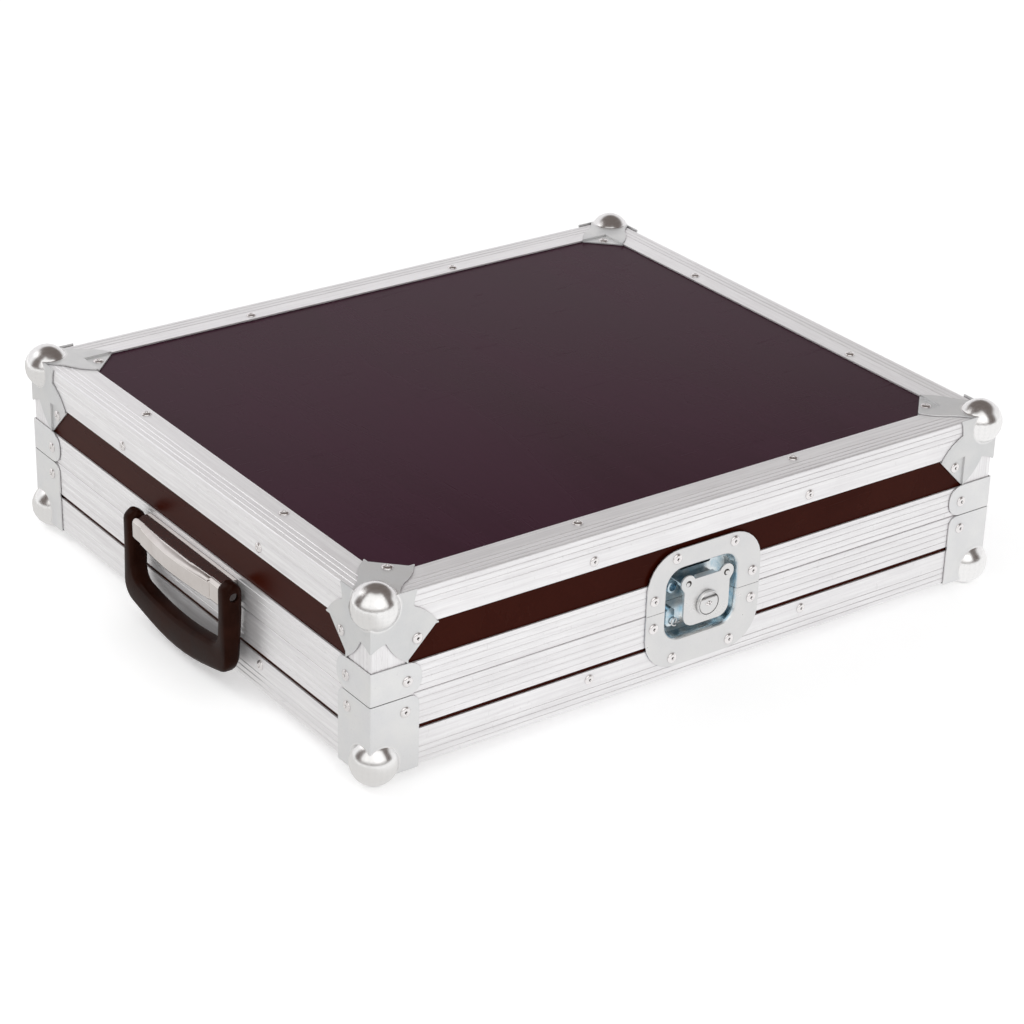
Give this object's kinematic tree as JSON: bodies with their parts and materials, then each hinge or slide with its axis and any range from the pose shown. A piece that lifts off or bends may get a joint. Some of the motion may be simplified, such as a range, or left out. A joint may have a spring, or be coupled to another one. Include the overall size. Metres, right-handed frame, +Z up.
{
  "type": "sampler flight case",
  "caption": "Shallow flight case for a tabletop sampler: plywood walls in aluminium extrusions, ball corners, recessed twist latches, swing handle and a lift-off foam-lined lid.",
  "frame": {"origin": "centre of the bounding box's footprint, on the surface the case stands on", "axes": "+Z up, -Y out of the front with the first latch, -X out of the side with the handle, +X along the case's length"},
  "size_m": [0.6424, 0.54, 0.1663],
  "materials": {
    "aluminium": "natural anodised extrusion, brushed along its length",
    "zinc": "bright zinc plated pressed steel",
    "chrome": "chrome plated pressed steel",
    "phenolic": "dark brown phenolic film on birch plywood, satin",
    "plastic": "moulded, fine satin grain",
    "foam": "closed cell polyethylene foam, matt"
  },
  "bodies": {
    "base": {"base_floor_panel": "phenolic", "base_wall_front": "phenolic", "base_wall_right": "phenolic", "base_wall_back": "phenolic", "base_wall_left": "phenolic", "base_edge_front": "aluminium", "base_edge_right": "aluminium", "base_edge_back": "aluminium", "base_edge_left": "aluminium", "base_rim_front_left": "aluminium", "base_rim_front_right": "aluminium", "base_rim_back_left": "aluminium", "base_rim_back_right": "aluminium", "base_rim_left": "aluminium", "base_rim_right": "aluminium", "base_ball_corner_front_left": "zinc", "base_ball_corner_front_right": "zinc", "base_ball_corner_back_right": "zinc", "base_ball_corner_back_left": "zinc", "latch_front_lower_dish": "zinc", "latch_back_lower_dish": "zinc", "base_foam": "foam"},
    "lid": {"lid_top_panel": "phenolic", "lid_wall_front": "phenolic", "lid_wall_right": "phenolic", "lid_wall_back": "phenolic", "lid_wall_left": "phenolic", "lid_edge_front": "aluminium", "lid_edge_right": "aluminium", "lid_edge_back": "aluminium", "lid_edge_left": "aluminium", "lid_rim_front_left": "aluminium", "lid_rim_front_right": "aluminium", "lid_rim_back_left": "aluminium", "lid_rim_back_right": "aluminium", "lid_rim_left": "aluminium", "lid_rim_right": "aluminium", "lid_post_front_left": "aluminium", "lid_post_front_right": "aluminium", "lid_post_back_right": "aluminium", "lid_post_back_left": "aluminium", "lid_ball_corner_front_left": "zinc", "lid_ball_corner_front_right": "zinc", "lid_ball_corner_back_right": "zinc", "lid_ball_corner_back_left": "zinc", "lid_brace_front_left": "zinc", "lid_brace_front_right": "zinc", "lid_brace_back_right": "zinc", "lid_brace_back_left": "zinc", "latch_front_upper_dish": "zinc", "latch_back_upper_dish": "zinc", "lid_foam": "foam", "handle_bracket": "chrome"},
    "handle": {"handle_grip": "plastic"},
    "latch_front_hook": {"latch_front_hook": "zinc"},
    "latch_front_cam": {"latch_front_cam": "zinc"},
    "latch_front_wing": {"latch_front_wing": "zinc"},
    "latch_back_hook": {"latch_back_hook": "zinc"},
    "latch_back_cam": {"latch_back_cam": "zinc"},
    "latch_back_wing": {"latch_back_wing": "zinc"}
  },
  "joints": [
    {"name": "lid_lift", "type": "slide", "parent": "base", "child": "lid", "axis": [0, 0, 1], "range_m": [0, 0.2]},
    {"name": "latch_front_twist", "type": "hinge", "parent": "base", "child": "latch_front_cam", "pos_m": [0.00905, -0.26, 0.07], "axis": [0, 1, 0], "range_deg": [0, 180]},
    {"name": "latch_front_draw", "type": "slide", "parent": "base", "child": "latch_front_hook", "axis": [0, 0.5351, -0.8448], "range_m": [0, 0.0071]},
    {"name": "latch_front_wing_fold", "type": "hinge", "parent": "latch_front_cam", "child": "latch_front_wing", "pos_m": [0.00905, -0.2667, 0.074], "axis": [-1, 0, 0], "range_deg": [0, 90]},
    {"name": "latch_back_twist", "type": "hinge", "parent": "base", "child": "latch_back_cam", "pos_m": [0.00345, 0.26, 0.07], "axis": [0, -1, 0], "range_deg": [0, 180]},
    {"name": "latch_back_draw", "type": "slide", "parent": "base", "child": "latch_back_hook", "axis": [0, -0.5351, -0.8448], "range_m": [0, 0.0071]},
    {"name": "latch_back_wing_fold", "type": "hinge", "parent": "latch_back_cam", "child": "latch_back_wing", "pos_m": [0.00345, 0.2667, 0.074], "axis": [1, 0, 0], "range_deg": [0, 90]},
    {"name": "handle_swing", "type": "hinge", "parent": "lid", "child": "handle", "pos_m": [-0.31025, -0.0065, 0.0858], "axis": [0, 1, 0], "range_deg": [0, 95]}
  ],
  "couplings": [
    {"joint": "latch_front_twist", "follows": "latch_front_draw", "rad_per_m": 442.35},
    {"joint": "latch_back_twist", "follows": "latch_back_draw", "rad_per_m": 442.35}
  ]
}
